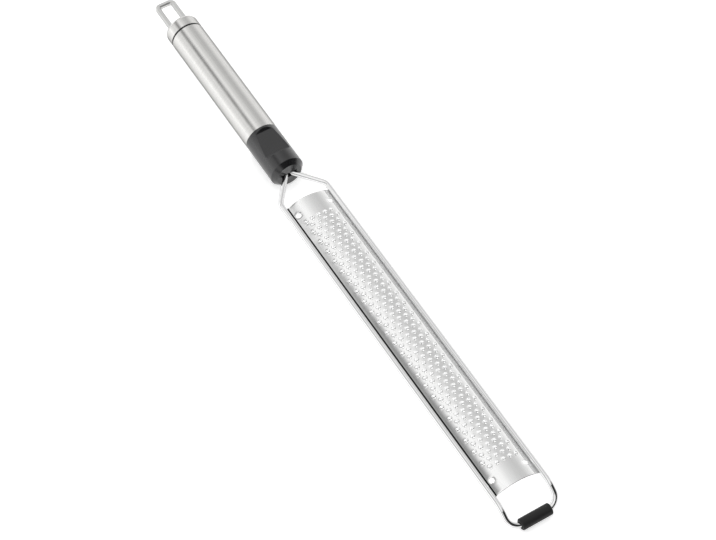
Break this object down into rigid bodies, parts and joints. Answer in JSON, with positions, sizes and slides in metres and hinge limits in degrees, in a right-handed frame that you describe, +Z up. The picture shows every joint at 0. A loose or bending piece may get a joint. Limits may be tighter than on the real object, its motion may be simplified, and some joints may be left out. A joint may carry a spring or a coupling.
{
  "type": "rasp zester",
  "caption": "Hand-held rasp zester: arched pierced-steel blade carried by a bent wire frame, with a rubber foot, a round steel handle, a plastic ferrule and a hanging loop.",
  "frame": {"origin": "on the table under the middle of the tool", "axes": "+X along the tool from the hanging loop to the foot, +Y across it, +Z up from the table through the toothed side of the blade"},
  "size_m": [0.3894, 0.0316, 0.02],
  "materials": {
    "handle_steel": "satin stainless steel, brushed round the handle",
    "blade_steel": "bright satin stainless sheet",
    "wire_steel": "polished stainless wire",
    "loop_metal": "matt light grey metal bar",
    "black_plastic": "fine-grained black moulding",
    "foot_rubber": "satin black rubber"
  },
  "bodies": {
    "root": {"handle_tube": "handle_steel", "seal_ring": "black_plastic", "end_cap": "handle_steel", "end_plug": "black_plastic", "hanging_loop": "loop_metal", "front_ferrule": "black_plastic", "wire_frame": "wire_steel", "grating_blade": "blade_steel", "rubber_foot": "foot_rubber"}
  },
  "joints": []
}
